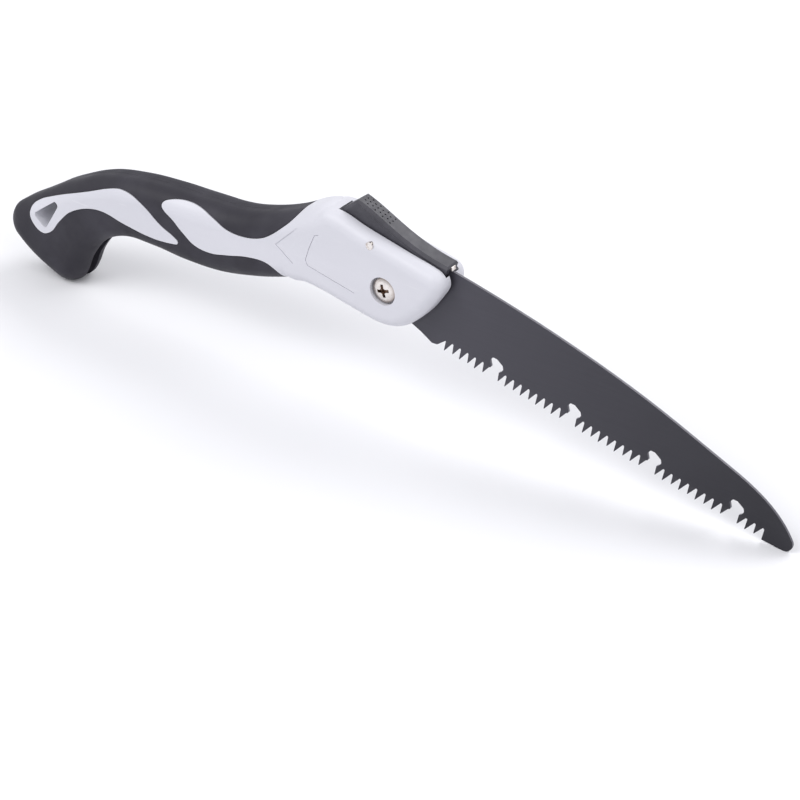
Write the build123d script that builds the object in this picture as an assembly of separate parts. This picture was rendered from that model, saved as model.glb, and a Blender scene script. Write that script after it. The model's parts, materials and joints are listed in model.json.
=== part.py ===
from build123d import *
import math
import os

# Folding pruning saw, open and locked. Everything is drawn in the saw's own plane, in millimetres:
# X runs from the blade pivot to the blade tip, Z points to the spine, Y is across the thickness, and
# the pivot axis is the origin. set_down() then stands the saw on its hook and its blade tip.

# ---- driving dimensions ----
HALF_WIDTH = 12.0          # half the thickness of the grip
HOUSING_HALF = 12.06       # the housing stands a hair proud of the grip
GRIP_ROUND = 9.0           # rounding of the grip's long edges
HOUSING_ROUND = 6.0        # rounding of the housing's edges
TAIL_R = 12.6              # outline radius of the tail
TOE_R = 12.2               # outline radius of the hook's toe
SLOT_HALF = 2.6            # half the width of the slot that the blade folds into
CHANNEL_HALF = 5.1         # half the width of the channel that holds the lever
CHANNEL_FLOOR = 12.5
CHANNEL_FRONT = 26.0
CHANNEL_REAR = -35.2

BLADE_HALF = 0.6           # half the blade's thickness
BLADE_REACH = 214.1        # pivot to the furthest point of the tip
TOOTH_PITCH = 4.2
FIRST_TOOTH = 31.4
TOOTH_COUNT = 40
TOOTH_TIP_Z = -20.7
TOOTH_ROOT_Z = -15.6
TOOTH_FRONT = 3.0          # root to tip along the slow flank
TOOTH_BACK = 0.1           # tip to root along the steep flank
TOOTH_SET = 0.35           # sideways lean of each tooth tip
ROOT_R = 0.52              # rounding between two teeth
GULLET_TEETH = (6, 16, 26, 36)   # teeth left out for the wide gullets
TANG_R = 15.0
FOLD_ANGLE = 152.0
FOLD_GAP = 3.0             # teeth to the slot's ceiling when folded

RUNNING_GAP = 0.05
SCREW_R = 3.0
SCREW_HEAD_R = 6.0
HEAD_SEAT_Y = -8.8
HEAD_EDGE_Y = -10.6
HEAD_TOP_Y = -11.7
HEAD_RECESS_R = 6.9
NUT_FLATS = 10.0
NUT_SEAT_Y = 6.0
NUT_TOP_Y = 10.4
COLLAR_R = 4.4
COLLAR_TOP_Y = 11.4
BUSH_R = 4.0
WASHER_R = 9.0

LEVER_HALF = 4.4
LEVER_BOTTOM = 17.0
LEVER_PIN = (-11.7, 18.5)
LEVER_PIN_R = 1.9
LEVER_LUG_R = 3.6
PAWL_HALF = 1.5
RIVETS = ((11.5, 19.6), (17.0, 22.4))
RIVET_R = 1.0
RIVET_HALF = 3.2           # half length; the rivets end inside the lever
PIT_R = 0.42               # blind pits that roughen the thumb end
PIT_DEPTH = 0.6
PIT_PITCH = 2.2
SPRING_X = -31.0
SPRING_TOP = 23.0
SPRING_R = 1.9
SPRING_WIRE_R = 0.28
SPRING_TURNS = 7

RUBBER_INSET = 3.2         # rubber over the core's long edges
CORE_HALF = 7.0            # half thickness of the core under the rubber
GROOVE = 0.3               # open joint between rubber and inlay
LINER_WALL = 1.2
LINER_NEAR_Y = 3.0
LINER_FAR_Y = 11.7
ENGRAVING = 0.35

# resting points, under the hook and below the tip
HOOK_REST = (-181.9, -103.2)
TIP_REST = (210.0, -20.1)
TILT = math.degrees(math.atan2(TIP_REST[1] - HOOK_REST[1], TIP_REST[0] - HOOK_REST[0]))


# ---- helpers ----
def slab(outline, y_near, y_far):
    """Solid between two Y planes; the outline is drawn in X and Z."""
    return extrude(Plane.XZ.offset(-y_far) * outline, y_far - y_near)


def both_sides(outline, half):
    return slab(outline, -half, half)


def rod(centre, radius, y_near, y_far):
    """Round bar across the thickness."""
    return slab(Pos(*centre) * Circle(radius), y_near, y_far)


def ring(outer, inner, y_near, y_far):
    return slab(Circle(outer) - Circle(inner), y_near, y_far)


def polygon(*points):
    return make_face(Polyline(*points, close=True))


def tangent_arc(start, end, heading):
    """Circular arc from start to end that leaves start along the unit vector heading."""
    chord = end - start
    half_turn = heading.get_signed_angle(chord, Vector(0, 0, 1))
    if abs(half_turn) < 0.02:
        return Line(start, end)
    bulge = chord.length / 2 * math.tan(math.radians(half_turn) / 2)
    side = Vector(chord.Y, -chord.X).normalized()
    return ThreePointArc(start, (start + end) / 2 + side * bulge, end)


def smooth_chain(points, headings):
    """Pairs of tangent arcs through the points, each pair meeting where both reaches are equal."""
    edges = []
    for start, end, leave, arrive in zip(points, points[1:], headings, headings[1:]):
        span = end - start
        along = span.dot(leave + arrive)
        bend = 2 * (1 - leave.dot(arrive))
        if bend < 1e-9:
            reach = span.dot(span) / (2 * along)
        else:
            reach = (math.sqrt(along ** 2 + bend * span.dot(span)) - along) / bend
        middle = (start + end + (leave - arrive) * reach) / 2
        edges.append(tangent_arc(start, middle, leave))
        edges.append(tangent_arc(middle, end, tangent_at_end(start, middle, leave)))
    return edges


def tangent_at_end(start, end, heading):
    """Heading at the far end of the arc that tangent_arc() draws."""
    chord = (end - start).normalized()
    return chord * (2 * chord.dot(heading)) - heading


def through(points):
    """Headings along each point's two neighbours; the two ends look at their one neighbour."""
    before = [points[0]] + points[:-1]
    after = points[1:] + [points[-1]]
    return [(b - a).normalized() for a, b in zip(before, after)]


def closed_curve(*points):
    corners = [Vector(*p) for p in points]
    loop = [corners[-1]] + corners + corners[:2]
    headings = through(loop)[1:-1]
    return make_face(smooth_chain(loop[1:-1], headings))


def open_curve(*points):
    corners = [Vector(*p) for p in points]
    return smooth_chain(corners, through(corners))


def arc_points(centre, radius, first, last, count):
    """Points along an arc, angles in degrees."""
    step = math.radians(last - first) / (count - 1)
    start = math.radians(first)
    return [(centre[0] + radius * math.cos(start + i * step),
             centre[1] + radius * math.sin(start + i * step)) for i in range(count)]


def rounded_slab(outline, half, radius):
    """Slab with both of its long edges rounded."""
    solid = both_sides(outline, half)
    rims = [e for e in solid.edges() if abs(abs(e.center().Y) - half) < 1e-3]
    return fillet(rims, radius)


# ---- handle outlines ----
def grip_outline():
    """Hump behind the lever, back, tail, hook and belly of the handle, as one closed curve."""
    hump = arc_points((-39.0, 9.2), 12.6, 20, 110, 4)
    tail = arc_points((-209.0, -83.0), TAIL_R, 145, 235, 5)
    toe = arc_points((-184.4, -91.3), TOE_R, 258, 350, 5)
    return closed_curve(
        *hump, (-59.4, 8.2), (-74.2, -1.2), (-89.2, -8.1), (-109.3, -13.4), (-129.2, -18.2),
        (-149.2, -24.2), (-169.4, -32.9), (-189.0, -47.0), (-204.8, -61.8), *tail, (-203.8, -99.3),
        *toe, (-169.3, -80.5), (-162.2, -67.6), (-148.0, -57.2), (-130.0, -52.6), (-110.0, -49.6),
        (-89.7, -44.5), (-69.6, -35.7), (-53.2, -26.4), (-43.0, -19.5), (-33.0, -8.0))


def housing_outline():
    """Side of the housing that holds the pivot and the lever."""
    nose = arc_points((21.2, 14.8), 6.7, 85, -5, 4)
    return closed_curve(
        (-37.0, 22.6), (-15.0, 22.1), (5.0, 21.7), *nose, (25.2, 6.0), (22.3, -0.9), (18.7, -7.0),
        (13.9, -13.2), (8.3, -17.2), (0.0, -19.6), (-15.0, -20.2), (-30.0, -20.3), (-41.0, -21.3),
        (-49.0, -23.9), (-56.5, -22.5), (-60.0, -14.0), (-54.0, 2.0), (-46.5, 15.0))


def front_inlay_outline():
    """Grey flash that runs back from the housing into the rubber, closed round the housing."""
    flash = open_curve(
        (-49.0, 26.0), (-51.3, 16.5), (-53.7, 10.0), (-57.0, 4.0), (-65.0, -6.5), (-71.5, -11.6),
        (-80.0, -15.0), (-88.0, -16.1), (-97.0, -15.2), (-107.0, -15.0), (-118.0, -17.2),
        (-125.6, -20.7), (-127.2, -23.2), (-125.6, -25.3), (-119.0, -28.0), (-113.0, -31.2),
        (-104.5, -34.4), (-95.0, -33.4), (-85.0, -29.0), (-75.0, -24.0), (-65.0, -20.9),
        (-58.5, -21.6), (-54.0, -25.4), (-50.5, -32.0))
    return make_face([*flash, Polyline((-50.5, -32.0), (40.0, -32.0), (40.0, 36.0), (-49.0, 26.0))])


def rear_inlay_outline():
    """Grey flash round the hanging hole."""
    return closed_curve(
        (-206.4, -71.5), (-204.6, -65.6), (-193.0, -55.5), (-175.0, -43.0), (-157.0, -31.2),
        (-147.0, -28.6), (-138.0, -29.7), (-126.0, -34.7), (-117.0, -36.8), (-114.3, -38.6),
        (-117.0, -40.7), (-130.0, -44.5), (-147.0, -46.1), (-161.0, -46.5), (-171.0, -50.2),
        (-181.0, -58.0), (-187.0, -67.0), (-191.5, -75.8), (-197.0, -79.4), (-203.5, -77.0))


def hanging_hole_outline():
    face = polygon((-185.9, -51.2), (-195.2, -76.3), (-203.9, -71.5))
    return fillet(face.vertices(), 1.8)


def blade_slot():
    """Room for the folded blade: under its teeth line, within its reach, and open at the front."""
    slope = math.tan(math.radians(180.0 - FOLD_ANGLE))
    ceiling = TOOTH_TIP_Z / math.cos(math.radians(FOLD_ANGLE)) + FOLD_GAP
    under = polygon(
        (-260.0, -260.0 * slope + ceiling), (-20.0, -20.0 * slope + ceiling), (-20.0, 60.0),
        (60.0, 60.0), (60.0, -160.0), (-260.0, -160.0))
    return both_sides(under & Circle(BLADE_REACH + 1.7), SLOT_HALF)


def lever_channel():
    """Open-topped channel in the housing, with a sloping rear wall and two lips at its front."""
    return both_sides(polygon(
        (CHANNEL_REAR, CHANNEL_FLOOR), (CHANNEL_FRONT, CHANNEL_FLOOR), (CHANNEL_FRONT, 60.0), (-8.2, 60.0),
        (CHANNEL_REAR, 22.6)), CHANNEL_HALF)


def engraved_lines():
    """Fine lines scribed in both sides of the housing: a chevron and a panel corner."""
    chevron = Polyline((-48.0, 10.5), (-52.0, 4.0), (-60.0, -8.0), (-49.0, -12.7))
    panel = Polyline(
        (-38.5, 9.3), (-40.5, 8.0), (-42.0, 0.0), (-42.7, -7.0), (-41.0, -9.2), (-14.0, -9.2))
    lines = trace(chevron, 0.4) + trace(panel, 0.3)
    depth = HOUSING_HALF - ENGRAVING
    return slab(lines, -HOUSING_HALF - 1, -depth) + slab(lines, depth, HOUSING_HALF + 1)


# ---- handle ----
def handle_shell():
    """Outer shape of core and rubber together, less everything that passes through it."""
    grip = rounded_slab(grip_outline(), HALF_WIDTH, GRIP_ROUND)
    housing = rounded_slab(housing_outline(), HOUSING_HALF, HOUSING_ROUND)
    hole = both_sides(hanging_hole_outline(), HALF_WIDTH + 1)
    return grip + housing - blade_slot() - lever_channel() - hole


def pivot_bores():
    """Screw hole, head recess on the near side and hexagon recess on the far side."""
    nut_pocket = slab(RegularPolygon(NUT_FLATS / 2, 6, major_radius=False), NUT_SEAT_Y, HALF_WIDTH + 1)
    return (rod((0, 0), SCREW_R, -HOUSING_HALF, HOUSING_HALF) + nut_pocket
            + rod((0, 0), HEAD_RECESS_R, -HALF_WIDTH - 1, HEAD_SEAT_Y)
            + rod(LEVER_PIN, LEVER_PIN_R, -HALF_WIDTH - 1, HALF_WIDTH + 1))


def handle_parts():
    """Grey core with its housing and inlays, black rubber over it, and the hanging hole's liner."""
    shell = handle_shell()
    under_rubber = both_sides(offset(grip_outline(), -RUBBER_INSET), CORE_HALF)
    front, rear = front_inlay_outline(), rear_inlay_outline()
    deep = HALF_WIDTH + 1
    inlays = both_sides(front, deep) + both_sides(rear, deep)
    openings = both_sides(offset(front, GROOVE), deep) + both_sides(offset(rear, GROOVE), deep)
    core = (shell & (under_rubber + inlays)) - pivot_bores() - engraved_lines()
    rubber = shell - under_rubber - openings
    hole = hanging_hole_outline()
    liner_outer = offset(hole, LINER_WALL)
    core = core - slab(liner_outer, LINER_NEAR_Y, HALF_WIDTH + 1)
    liner = slab(liner_outer - hole, LINER_NEAR_Y, LINER_FAR_Y)
    return core, rubber, liner


# ---- pivot ----
def pivot_screw():
    """Pan head with a cross recess, and a plain shank through both cheeks."""
    profile = make_face([
        Line((0, HEAD_SEAT_Y), (SCREW_HEAD_R, HEAD_SEAT_Y)),
        Line((SCREW_HEAD_R, HEAD_SEAT_Y), (SCREW_HEAD_R, HEAD_EDGE_Y)),
        ThreePointArc((SCREW_HEAD_R, HEAD_EDGE_Y), (SCREW_HEAD_R * 0.6, HEAD_TOP_Y + 0.3), (0, HEAD_TOP_Y)),
        Line((0, HEAD_TOP_Y), (0, HEAD_SEAT_Y))])
    head = revolve(profile, Axis.Y)
    cross = Rectangle(6.4, 1.5) + Rectangle(1.5, 6.4)
    recess = slab(Rot(0, 0, 28) * cross, HEAD_TOP_Y - 1, HEAD_TOP_Y + 1.7)
    centre = rod((0, 0), 1.5, HEAD_TOP_Y - 1, HEAD_TOP_Y + 2.0)
    shank = rod((0, 0), SCREW_R, HEAD_SEAT_Y, COLLAR_TOP_Y)
    return head + shank - recess - centre


def pivot_nut():
    hexagon = RegularPolygon(NUT_FLATS / 2, 6, major_radius=False) - Circle(SCREW_R)
    collar = ring(COLLAR_R, SCREW_R + 0.7, NUT_TOP_Y, COLLAR_TOP_Y)
    return slab(hexagon, NUT_SEAT_Y, NUT_TOP_Y) + collar


# ---- blade ----
def tooth(index):
    """Tapered tooth, leaning to alternate sides, rooted a little inside the blade."""
    tip_x = FIRST_TOOTH + index * TOOTH_PITCH
    lean = TOOTH_SET if index % 2 else -TOOTH_SET
    root = Pos(tip_x + (TOOTH_FRONT - TOOTH_BACK) / 2, 0, TOOTH_ROOT_Z) * Rectangle(
        TOOTH_FRONT + TOOTH_BACK, 2 * BLADE_HALF)
    tip = Pos(tip_x + 0.15, lean, TOOTH_TIP_Z) * Rectangle(0.3, 0.5)
    return loft([root, tip], ruled=True)


def root_rounding(index):
    """Rounded root between a tooth and the next one."""
    gap = TOOTH_PITCH - TOOTH_FRONT - TOOTH_BACK
    x = FIRST_TOOTH + index * TOOTH_PITCH + TOOTH_FRONT + gap / 2
    return rod((x, TOOTH_ROOT_Z + 0.05), ROOT_R, -BLADE_HALF - 1, BLADE_HALF + 1)


def gullet(left_tooth):
    """Mushroom-shaped raker gullet after the given tooth; the neck opens at the teeth."""
    x = FIRST_TOOTH + left_tooth * TOOTH_PITCH
    face = polygon(
        (x + 3.0, TOOTH_ROOT_Z - 1), (x + 3.9, -14.6), (x + 2.5, -11.8), (x + 3.6, -9.6),
        (x + 5.8, -9.4), (x + 9.3, -11.2), (x + 10.0, -12.8), (x + 9.3, -14.7), (x + 8.3, TOOTH_ROOT_Z),
        (x + 8.3, TOOTH_ROOT_Z - 1))
    rounded = [v for v in face.vertices() if v.Y > TOOTH_ROOT_Z]
    return both_sides(fillet(rounded, 0.7), BLADE_HALF + 1)


def saw_blade():
    spine = Spline((24.3, 21.0), (60.0, 20.2), (100.0, 17.3), (140.0, 11.7), (170.0, 5.5),
                   (195.0, -1.3), (206.0, -7.6), (212.4, -13.6))
    tip = ThreePointArc((212.4, -13.6), (213.1, -17.6), (210.0, -20.1))
    edge = Polyline(
        (210.0, -20.1), (199.6, -20.9), (199.4, TOOTH_ROOT_Z), (31.0, TOOTH_ROOT_Z), (29.6, -17.2),
        (27.4, -19.8), (24.5, -20.5), (18.0, -18.1), (12.5, -16.7), (0, -TANG_R))
    tang = ThreePointArc((0, -TANG_R), (-TANG_R, 0), (0, TANG_R))
    notch = Polyline((0, TANG_R), (24.3, TANG_R), (24.3, 21.0))
    plate = both_sides(make_face([spine, tip, edge, tang, notch]), BLADE_HALF)
    teeth = [tooth(i) for i in range(TOOTH_COUNT) if i not in GULLET_TEETH]
    plate = plate.fuse(*teeth)
    plate = plate - [root_rounding(i) for i in range(TOOTH_COUNT) if i + 1 not in GULLET_TEETH]
    for missing in GULLET_TEETH:
        plate = plate - gullet(missing - 1)
    return plate - rod((0, 0), BUSH_R + RUNNING_GAP, -BLADE_HALF - 1, BLADE_HALF + 1)


# ---- lever ----
def thumb_pits():
    """Staggered rows of blind pits in the sloping top of the thumb end."""
    drills = []
    for row in range(8):
        x = -24.6 + row * PIT_PITCH
        floor = 32.1 - 0.205 * (x + 26.6) - PIT_DEPTH
        columns = (-PIT_PITCH, 0, PIT_PITCH) if row % 2 else (-PIT_PITCH / 2, PIT_PITCH / 2)
        drills += [Pos(x, y, floor + 2) * Cylinder(PIT_R, 4) for y in columns]
    return drills


def lock_lever():
    """Rocking lever: thumb end at the rear, a pin lug below, the pawl's slot at the front."""
    top = Spline((-26.6, 32.1), (-20.0, 31.0), (-10.0, 28.5), (0.0, 26.1), (8.0, 24.8), (24.6, 24.2))
    rest = Polyline((24.6, 24.2), (25.3, 23.3), (24.3, LEVER_BOTTOM), (-34.6, LEVER_BOTTOM),
                    (-34.6, 22.4), (-26.6, 32.1))
    body = both_sides(make_face([top, rest]), LEVER_HALF)
    upper = [e for e in body.edges() if e.center().Z > 24.5 and abs(e.center().Y) > LEVER_HALF - 0.1]
    body = chamfer(upper, 0.8, 1.4)
    body = body + rod(LEVER_PIN, LEVER_LUG_R, -LEVER_HALF, LEVER_HALF)
    pawl_slot = slab(polygon((5.8, 10.0), (30.0, 10.0), (30.0, 23.2), (5.8, 23.2)), -PAWL_HALF, PAWL_HALF)
    spring_hole = Pos(SPRING_X, 0, (LEVER_BOTTOM + SPRING_TOP) / 2) * Cylinder(
        SPRING_R + 0.7, SPRING_TOP - LEVER_BOTTOM)
    body = body - pawl_slot - spring_hole - rod(
        LEVER_PIN, LEVER_PIN_R + RUNNING_GAP, -LEVER_HALF - 1, LEVER_HALF + 1)
    for centre in RIVETS:
        body = body - rod(centre, RIVET_R, -RIVET_HALF, RIVET_HALF)
    return body - thumb_pits()


def lock_pawl():
    """Hard steel plate whose nose stands behind the blade's shoulder."""
    face = polygon((5.8, 17.2), (19.2, 17.2), (19.2, 16.3), (24.0, 16.3), (24.0, 21.4), (26.3, 21.6),
                   (25.6, 23.2), (5.8, 23.2))
    plate = both_sides(face, PAWL_HALF)
    for centre in RIVETS:
        plate = plate - rod(centre, RIVET_R, -PAWL_HALF - 1, PAWL_HALF + 1)
    return plate


def lever_spring():
    """Coil spring between the channel's floor and the pocket in the lever's thumb end."""
    height = SPRING_TOP - CHANNEL_FLOOR - 2 * SPRING_WIRE_R
    path = Helix(height / SPRING_TURNS, height, SPRING_R)
    wire = sweep(Plane(path @ 0, z_dir=path % 0) * Circle(SPRING_WIRE_R), path, is_frenet=True)
    return Pos(SPRING_X, 0, CHANNEL_FLOOR + SPRING_WIRE_R) * wire


# ---- the saw ----
def build_saw():
    core, rubber, liner = handle_parts()
    inner, outer = BLADE_HALF + RUNNING_GAP, SLOT_HALF
    return {
        "handle_core": core,
        "grip_overmold": rubber,
        "hole_liner": liner,
        "pivot_screw": pivot_screw(),
        "pivot_nut": pivot_nut(),
        "nut_locking_ring": ring(SCREW_R + 0.7, SCREW_R, NUT_TOP_Y, COLLAR_TOP_Y),
        "pivot_bush": ring(BUSH_R, SCREW_R, -SLOT_HALF, SLOT_HALF),
        "near_bearing_washer": ring(WASHER_R, BUSH_R, -outer, -inner),
        "far_bearing_washer": ring(WASHER_R, BUSH_R, inner, outer),
        "lever_pin": rod(LEVER_PIN, LEVER_PIN_R, -HALF_WIDTH + 0.15, HALF_WIDTH - 0.15),
        "lever_spring": lever_spring(),
        "saw_blade": saw_blade(),
        "lock_lever": lock_lever(),
        "lock_pawl": lock_pawl(),
        "pawl_rivets": Compound([
            rod(centre, RIVET_R, -RIVET_HALF, RIVET_HALF) for centre in RIVETS]),
    }


def set_down(parts):
    """Stand the saw on hook and tip, centred in X over the origin; return the pivot's place too."""
    turned = {name: Rot(0, TILT, 0) * shape for name, shape in parts.items()}
    boxes = [shape.bounding_box() for shape in turned.values()]
    shift = Pos(-(min(b.min.X for b in boxes) + max(b.max.X for b in boxes)) / 2, 0,
                -min(b.min.Z for b in boxes))
    return {name: shift * shape for name, shape in turned.items()}, shift * Rot(0, TILT, 0)


os.makedirs("parts", exist_ok=True)
saw, saw_place = set_down(build_saw())
for node, shape in saw.items():
    export_step(shape, f"parts/{node}.step")

for label, point in (("pivot", (0, 0)), ("lever pin", LEVER_PIN), ("hole", (-194.5, -66.0)),
                     ("spring foot", (SPRING_X, CHANNEL_FLOOR))):
    spot = (saw_place * Pos(point[0], 0, point[1])).position
    print(f"{label}: {spot.X:.3f}, {spot.Y:.3f}, {spot.Z:.3f}")
print(f"tilt: {TILT:.4f} degrees")
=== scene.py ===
import json
import math

import bmesh
import bpy
from mathutils import Matrix, Vector
from mathutils.bvhtree import BVHTree


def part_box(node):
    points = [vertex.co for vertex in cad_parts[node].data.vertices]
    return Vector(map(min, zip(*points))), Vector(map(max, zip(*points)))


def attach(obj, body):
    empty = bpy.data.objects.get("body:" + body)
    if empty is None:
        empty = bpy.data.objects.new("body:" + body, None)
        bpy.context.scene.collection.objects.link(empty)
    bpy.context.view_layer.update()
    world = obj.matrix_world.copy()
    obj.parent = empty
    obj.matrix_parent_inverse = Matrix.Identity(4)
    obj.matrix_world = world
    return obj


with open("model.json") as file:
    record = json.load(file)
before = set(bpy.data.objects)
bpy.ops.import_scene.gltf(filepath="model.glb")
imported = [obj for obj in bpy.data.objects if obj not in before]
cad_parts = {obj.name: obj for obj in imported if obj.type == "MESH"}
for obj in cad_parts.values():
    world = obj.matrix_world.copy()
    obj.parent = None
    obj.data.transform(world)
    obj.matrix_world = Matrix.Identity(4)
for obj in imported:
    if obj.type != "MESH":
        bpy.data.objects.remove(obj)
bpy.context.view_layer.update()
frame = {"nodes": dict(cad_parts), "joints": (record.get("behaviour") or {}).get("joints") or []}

# ---- places read from the frame ----
JOINTS = {j["name"]: Vector(j["pos_m"]) for j in frame["joints"]}
PIVOT = JOINTS["blade_fold"]
LEVER_PIN = JOINTS["lever_press"]
LEVER_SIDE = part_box("lock_lever")[1].y           # half the lever's width
PIN_IN_SAW = Vector((-0.0117, 0.0, 0.0185))      # the lever's pin from the pivot, along and across the saw

# ---- details, in millimetres in the saw's own axes, or in metres where the name ends in _M ----
RAY_HEIGHT = 60.0          # rays start well above the saw's back
FLASH_START = -186.0       # the moulding flash runs in lengths between these two places
FLASH_END = -62.0
FLASH_LENGTH = 17.0
FLASH_GAP = 2.4
FLASH_STEP = 1.2
FLASH_SIDE = 0.25          # a little to the far side of the middle
FLASH_RADIUS_M = 0.00020
FLASH_SINK_M = 0.00012
RIM_START = -25.2
RIM_STEP = 1.93
RIM_POINTS = 26
RIM_INSET = 2.9            # where the lever's top is still clear of its chamfer
RIM_SINK_M = 0.00010
RIM_LINES_M = ((0.0016, 0.00034), (0.0029, 0.00026))   # depth below the top, and radius
BEAD_SIDES = 8
BEAD_TAPER = 0.35

# ---- view and stage, in metres ----
LENS_MM = 101.25
SENSOR_MM = 36.0
CAMERA_FROM_PIVOT = Vector((0.5054, -0.7302, 0.5001))
VIEW_RIGHT = Vector((0.81807, 0.5749, 0.01478))
VIEW_UP = Vector((-0.31838, 0.4314, 0.84413))
VIEW_FORWARD = Vector((-0.47895, 0.6952, -0.53598))
FLOOR_HALF = 6.0
LIGHT_AIM = Vector((0, 0, 0.04))
SOFTBOXES = (              # name, place, width and height, power in watts
    ("key_softbox", (-0.9, -1.3, 1.7), (1.6, 1.2), 26),
    ("back_softbox", (0.4, 1.5, 1.6), (1.8, 1.2), 22),
    ("right_softbox", (1.6, -0.6, 1.1), (1.0, 1.2), 9))


def saw_axes():
    """Unit vectors along the saw and across it; the frame holds the saw nose-down."""
    seen = LEVER_PIN - PIVOT
    tilt = math.atan2(PIN_IN_SAW.z, PIN_IN_SAW.x) - math.atan2(seen.z, seen.x)
    along = Vector((math.cos(tilt), 0, -math.sin(tilt)))
    across = Vector((math.sin(tilt), 0, math.cos(tilt)))
    return along, across


ALONG, ACROSS = saw_axes()


def place(x, y, z):
    """Point in the frame, from millimetres along, sideways and across the saw, from the pivot."""
    return PIVOT + (ALONG * x + ACROSS * z + Vector((0, y, 0))) / 1000


# ---- materials ----
class Surface:
    """A Principled material whose colour, roughness and bump come from nodes in object space."""

    def __init__(self, name, metallic=0.0, **sockets):
        self.material = bpy.data.materials.new(name)
        self.material.use_nodes = True
        self.nodes = self.material.node_tree.nodes
        self.shader = self.nodes["Principled BSDF"]
        self.shader.inputs["Metallic"].default_value = metallic
        for socket, value in sockets.items():
            self.shader.inputs[socket.replace("_", " ")].default_value = value
        self.coordinates = self.nodes.new("ShaderNodeTexCoord").outputs["Object"]
        self.bump = None

    def join(self, source, target):
        """Link an output socket to an input socket."""
        self.material.node_tree.links.new(source, target)

    def noise(self, scale, detail, stretch=(1, 1, 1), turn=0.0):
        """Noise with the given number of features per metre, stretched along an axis if asked."""
        mapping = self.nodes.new("ShaderNodeMapping")
        mapping.inputs["Scale"].default_value = stretch
        mapping.inputs["Rotation"].default_value = (0, turn, 0)
        texture = self.nodes.new("ShaderNodeTexNoise")
        texture.inputs["Scale"].default_value = scale
        texture.inputs["Detail"].default_value = detail
        self.join(self.coordinates, mapping.inputs["Vector"])
        self.join(mapping.outputs["Vector"], texture.inputs["Vector"])
        return texture.outputs["Fac"]

    def spots(self, scale):
        """Distance to the nearest of a field of scattered points."""
        texture = self.nodes.new("ShaderNodeTexVoronoi")
        texture.inputs["Scale"].default_value = scale
        self.join(self.coordinates, texture.inputs["Vector"])
        return texture.outputs["Distance"]

    def spread(self, value, low, high, to_low=0.0, to_high=1.0):
        """Value rescaled from low..high to to_low..to_high, and clamped there."""
        node = self.nodes.new("ShaderNodeMapRange")
        node.inputs["From Min"].default_value = low
        node.inputs["From Max"].default_value = high
        node.inputs["To Min"].default_value = to_low
        node.inputs["To Max"].default_value = to_high
        self.join(value, node.inputs["Value"])
        return node.outputs["Result"]

    def mix(self, factor, first, second):
        """Colour between two colours, or between a socket and a colour."""
        node = self.nodes.new("ShaderNodeMix")
        node.data_type = "RGBA"
        self.join(factor, node.inputs["Factor"])
        for key, colour in (("A", first), ("B", second)):
            socket = [s for s in node.inputs if s.name == key and s.type == "RGBA"][0]
            if isinstance(colour, tuple):
                socket.default_value = (*colour, 1)
            else:
                self.join(colour, socket)
        return [s for s in node.outputs if s.type == "RGBA"][0]

    def raised(self, height, distance, strength):
        """Add a layer of bump; each layer sits on the one before."""
        node = self.nodes.new("ShaderNodeBump")
        node.inputs["Distance"].default_value = distance
        node.inputs["Strength"].default_value = strength
        self.join(height, node.inputs["Height"])
        if self.bump is not None:
            self.join(self.bump, node.inputs["Normal"])
        self.bump = node.outputs["Normal"]

    def along(self, axis, start, end):
        """0 to 1 along a frame axis between two distances in metres."""
        split = self.nodes.new("ShaderNodeSeparateXYZ")
        self.join(self.coordinates, split.inputs["Vector"])
        return self.spread(split.outputs[axis], start, end)

    def rim(self):
        """1 on faces that look along the saw's plane, such as a blade's edges, and 0 on its sides."""
        geometry = self.nodes.new("ShaderNodeNewGeometry")
        split = self.nodes.new("ShaderNodeSeparateXYZ")
        size = self.nodes.new("ShaderNodeMath")
        size.operation = "ABSOLUTE"
        self.join(geometry.outputs["Normal"], split.inputs["Vector"])
        self.join(split.outputs["Y"], size.inputs[0])
        return self.spread(size.outputs["Value"], 0.75, 0.35)

    def finish(self, colour, roughness):
        """Link what was built to the shader and hand the material over."""
        self.join(colour, self.shader.inputs["Base Color"])
        self.join(roughness, self.shader.inputs["Roughness"])
        if self.bump is not None:
            self.join(self.bump, self.shader.inputs["Normal"])
        return self.material


def grey_plastic():
    """Moulded grey plastic: spark-eroded fine texture, faint flow marks and a few scuffs."""
    s = Surface("grey_plastic", Specular_IOR_Level=0.45)
    flow = s.noise(22, 4, (0.4, 1, 1.6))
    scuffs = s.spread(s.noise(260, 6, (0.25, 1, 2.5), 0.5), 0.66, 0.74)
    body = s.mix(s.spread(flow, 0.35, 0.65), (0.545, 0.544, 0.588), (0.580, 0.578, 0.622))
    s.raised(s.noise(5200, 2), 0.00003, 0.35)
    s.raised(s.noise(900, 3), 0.00004, 0.2)
    roughness = s.spread(s.noise(140, 5), 0.3, 0.7, 0.36, 0.48)
    return s.finish(s.mix(scuffs, body, (0.60, 0.60, 0.635)), roughness)


def black_rubber():
    """Soft-touch rubber: matte, with a fine grain and paler rubbed patches."""
    s = Surface("black_rubber", Specular_IOR_Level=0.35)
    worn = s.spread(s.noise(38, 5), 0.5, 0.75)
    dust = s.spread(s.spots(950), 0.0, 0.16, 1.0, 0.0)
    body = s.mix(worn, (0.0180, 0.0165, 0.0240), (0.031, 0.029, 0.040))
    s.raised(s.noise(3600, 3), 0.00006, 0.5)
    s.raised(s.noise(420, 4), 0.00008, 0.25)
    roughness = s.spread(s.noise(90, 4), 0.3, 0.7, 0.5, 0.66)
    return s.finish(s.mix(dust, body, (0.036, 0.034, 0.041)), roughness)


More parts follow.
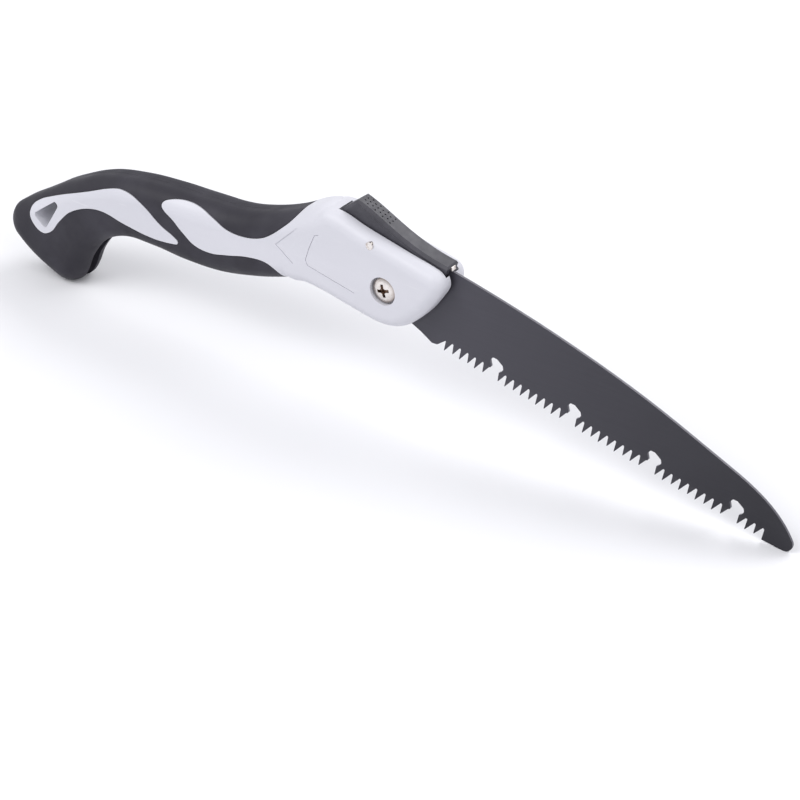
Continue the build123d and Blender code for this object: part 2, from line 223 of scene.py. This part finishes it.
def lever_plastic():
    """Black moulded nylon with a satin skin."""
    s = Surface("lever_plastic", Specular_IOR_Level=0.5)
    body = s.mix(s.spread(s.noise(120, 5), 0.3, 0.7), (0.032, 0.031, 0.039), (0.052, 0.050, 0.062))
    s.raised(s.noise(4300, 3), 0.00006, 0.55)
    s.raised(s.noise(700, 3, (0.3, 1, 1)), 0.00005, 0.3)
    return s.finish(body, s.spread(s.noise(260, 4), 0.3, 0.7, 0.4, 0.54))


def coated_blade():
    """Low-friction black coating over ground steel, with a painted sheen that is paler towards the pivot
    and darker towards the tip, and a painted highlight on its edge faces.
    """
    s = Surface("coated_blade", metallic=0.25, Specular_IOR_Level=0.5)
    saw_turn = math.atan2(-ALONG.z, ALONG.x)
    grind = s.noise(520, 4, (0.06, 1, 3.2), saw_turn)
    cloud = s.spread(s.noise(26, 4), 0.3, 0.7, 0.0, 0.3)
    # painted sheen: the coating is paler towards the pivot and darker towards the tip, between 0.04 m and
    # 0.20 m along X
    body = s.mix(s.along("X", 0.04, 0.20), (0.052, 0.050, 0.064), (0.014, 0.0135, 0.019))
    shaded = s.mix(cloud, body, (0.036, 0.035, 0.044))
    # painted highlight: faces that look along the saw's plane, the blade's edges, are made paler to stand
    # in for the light they catch
    finish_input = s.mix(s.rim(), shaded, (0.11, 0.107, 0.125))
    s.raised(grind, 0.00003, 0.35)
    s.raised(s.noise(4800, 2), 0.00002, 0.3)
    return s.finish(finish_input, s.spread(grind, 0.3, 0.7, 0.38, 0.52))


def bright_metal(name, dark, light, roughness, scale):
    """Plated or ground metal with fine scratches and a little tarnish."""
    s = Surface(name, metallic=1.0)
    scratches = s.noise(scale, 5, (0.2, 1, 2.2), 0.7)
    tarnish = s.spread(s.noise(500, 4), 0.45, 0.7)
    s.raised(scratches, 0.00002, 0.35)
    finish_input = s.spread(scratches, 0.3, 0.7, roughness, roughness + 0.16)
    return s.finish(s.mix(tarnish, light, dark), finish_input)


def nylon():
    """Blue nylon of the nut's locking ring."""
    s = Surface("locking_nylon", Specular_IOR_Level=0.5)
    s.raised(s.noise(2400, 3), 0.00004, 0.3)
    body = s.mix(s.spread(s.noise(700, 3), 0.3, 0.7), (0.05, 0.14, 0.42), (0.07, 0.18, 0.50))
    return s.finish(body, s.spread(s.noise(900, 3), 0.3, 0.7, 0.4, 0.55))


def screw_plate():
    """Nickel plating on the head's face; the recess, the rim, the shank and its far end are brown."""
    s = Surface("screw_plate", metallic=1.0)
    scratches = s.noise(1100, 4, (0.3, 1, 1.8), 0.7)
    plate = s.mix(s.spread(s.noise(700, 4), 0.45, 0.75), (0.80, 0.76, 0.73), (0.66, 0.60, 0.56))
    s.raised(scratches, 0.00001, 0.25)
    behind_face = s.along("Y", -0.01125, -0.01035)
    roughness = s.spread(scratches, 0.3, 0.7, 0.17, 0.27)
    return s.finish(s.mix(behind_face, plate, (0.17, 0.115, 0.085)), roughness)


GREY = grey_plastic()
RUBBER = black_rubber()
LEVER = lever_plastic()
BLADE = coated_blade()
NICKEL = bright_metal("nickel_plate", (0.40, 0.34, 0.30), (0.80, 0.76, 0.73), 0.16, 900)
STEEL = bright_metal("ground_steel", (0.42, 0.42, 0.44), (0.68, 0.68, 0.70), 0.26, 1500)
BRONZE = bright_metal("sintered_bronze", (0.36, 0.20, 0.09), (0.68, 0.44, 0.22), 0.34, 1200)
FINISHES = {
    "handle_core": GREY, "grip_overmold": RUBBER, "hole_liner": RUBBER, "pivot_screw": screw_plate(),
    "pivot_nut": NICKEL, "nut_locking_ring": nylon(), "pivot_bush": STEEL, "near_bearing_washer": BRONZE,
    "far_bearing_washer": BRONZE, "lever_pin": NICKEL, "lever_spring": STEEL, "saw_blade": BLADE,
    "lock_lever": LEVER, "lock_pawl": NICKEL, "pawl_rivets": STEEL}
for node, material in FINISHES.items():
    mesh = frame["nodes"][node].data
    mesh.materials.clear()
    mesh.materials.append(material)


# ---- detail pieces ----
def surface_of(node):
    """Ray-cast tree of a CAD node's mesh."""
    mesh = frame["nodes"][node].data
    return BVHTree.FromPolygons([v.co for v in mesh.vertices], [p.vertices for p in mesh.polygons])


def drop(tree, x, y):
    """Where a ray from above the saw's back meets the surface, and the normal there, or None."""
    spot, normal, _, _ = tree.ray_cast(place(x, y, RAY_HEIGHT), -ACROSS)
    return None if spot is None else (spot, normal)


def add_piece(name, shape, material, body):
    """Smooth-shaded piece made of a bmesh, riding on a body."""
    mesh = bpy.data.meshes.new(name)
    shape.to_mesh(mesh)
    shape.free()
    for polygon in mesh.polygons:
        polygon.use_smooth = True
    piece = bpy.data.objects.new(name, mesh)
    bpy.context.scene.collection.objects.link(piece)
    mesh.materials.append(material)
    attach(piece, body)
    return piece


def bead(shape, points, normals, radius, sink):
    """Closed tube along points, tapered at both ends and pressed into the surface."""
    angles = [2 * math.pi * k / BEAD_SIDES for k in range(BEAD_SIDES)]
    rings = []
    for i, (point, normal) in enumerate(zip(points, normals)):
        ahead = points[min(i + 1, len(points) - 1)] - points[max(i - 1, 0)]
        across = ahead.cross(normal).normalized()
        up = across.cross(ahead).normalized()
        size = radius * (BEAD_TAPER if i in (0, len(points) - 1) else 1.0)
        centre = point - normal * sink
        rings.append([shape.verts.new(centre + (across * math.cos(a) + up * math.sin(a)) * size)
                      for a in angles])
    for first, second in zip(rings, rings[1:]):
        for k in range(BEAD_SIDES):
            beside = (k + 1) % BEAD_SIDES
            shape.faces.new((first[k], second[k], second[beside], first[beside]))
    shape.faces.new(list(reversed(rings[-1])))
    shape.faces.new(rings[0])


def parting_line():
    """Moulding flash left in short lengths along the middle of the rubber's back."""
    tree = surface_of("grip_overmold")
    shape = bmesh.new()
    start = FLASH_START
    while start + FLASH_LENGTH < FLASH_END:
        places = [start + i * FLASH_STEP for i in range(int(FLASH_LENGTH / FLASH_STEP))]
        hits = [hit for hit in (drop(tree, x, FLASH_SIDE) for x in places) if hit]
        spots = [spot for spot, _ in hits]
        normals = [normal for _, normal in hits]
        bead(shape, spots, normals, FLASH_RADIUS_M, FLASH_SINK_M)
        start += FLASH_LENGTH + FLASH_GAP
    add_piece("grip_parting_line", shape, RUBBER, "handle")


def lever_rims():
    """Two rounded rims along each side of the lever, under the edge of its top."""
    tree = surface_of("lock_lever")
    shape = bmesh.new()
    for side in (-1, 1):
        hits = [drop(tree, RIM_START + i * RIM_STEP, side * RIM_INSET) for i in range(RIM_POINTS)]
        edge = [Vector((hit[0].x, side * LEVER_SIDE, hit[0].z)) for hit in hits if hit]
        outward = [Vector((0, side, 0))] * len(edge)
        for below, radius in RIM_LINES_M:
            bead(shape, [point - ACROSS * below for point in edge], outward, radius, RIM_SINK_M)
    add_piece("lever_side_rims", shape, LEVER, "lever")


parting_line()
lever_rims()

# ---- stage ----
def studio_floor():
    """Pale paper under the saw, far wider than the view."""
    bpy.ops.mesh.primitive_grid_add(x_subdivisions=8, y_subdivisions=8, size=2 * FLOOR_HALF)
    floor = bpy.context.object
    floor.name = "studio_floor"
    s = Surface("studio_paper", Specular_IOR_Level=0.1)
    tint = s.mix(s.spread(s.noise(0.8, 2), 0.3, 0.7), (0.735, 0.735, 0.755), (0.75, 0.75, 0.768))
    floor.data.materials.append(s.finish(tint, s.spread(s.noise(40, 3), 0.3, 0.7, 0.85, 0.95)))


def soft_light(name, spot, size, power):
    """Rectangular lamp at a spot, turned to the saw."""
    lamp = bpy.data.lights.new(name, "AREA")
    lamp.shape = "RECTANGLE"
    lamp.size = size[0]
    lamp.size_y = size[1]
    lamp.energy = power
    light = bpy.data.objects.new(name, lamp)
    light.location = spot
    light.rotation_euler = (LIGHT_AIM - Vector(spot)).to_track_quat("-Z", "Y").to_euler()
    bpy.context.scene.collection.objects.link(light)


def studio_world():
    """Even white light from all round."""
    world = bpy.data.worlds.new("studio_world")
    world.use_nodes = True
    background = world.node_tree.nodes["Background"]
    background.inputs["Color"].default_value = (0.96, 0.965, 1.0, 1)
    background.inputs["Strength"].default_value = 0.8
    bpy.context.scene.world = world


def camera():
    """Long lens above the saw, on its near side and beyond the blade's tip."""
    data = bpy.data.cameras.new("camera")
    data.lens = LENS_MM
    data.sensor_width = SENSOR_MM
    data.clip_start = 0.05
    data.clip_end = 50.0
    basis = Matrix((VIEW_RIGHT, VIEW_UP, -VIEW_FORWARD)).transposed().to_4x4()
    view = bpy.data.objects.new("camera", data)
    view.matrix_world = Matrix.Translation(PIVOT + CAMERA_FROM_PIVOT) @ basis
    bpy.context.scene.collection.objects.link(view)
    bpy.context.scene.camera = view


studio_floor()
studio_world()
for softbox in SOFTBOXES:
    soft_light(*softbox)
camera()
bpy.context.scene.view_settings.view_transform = "Standard"
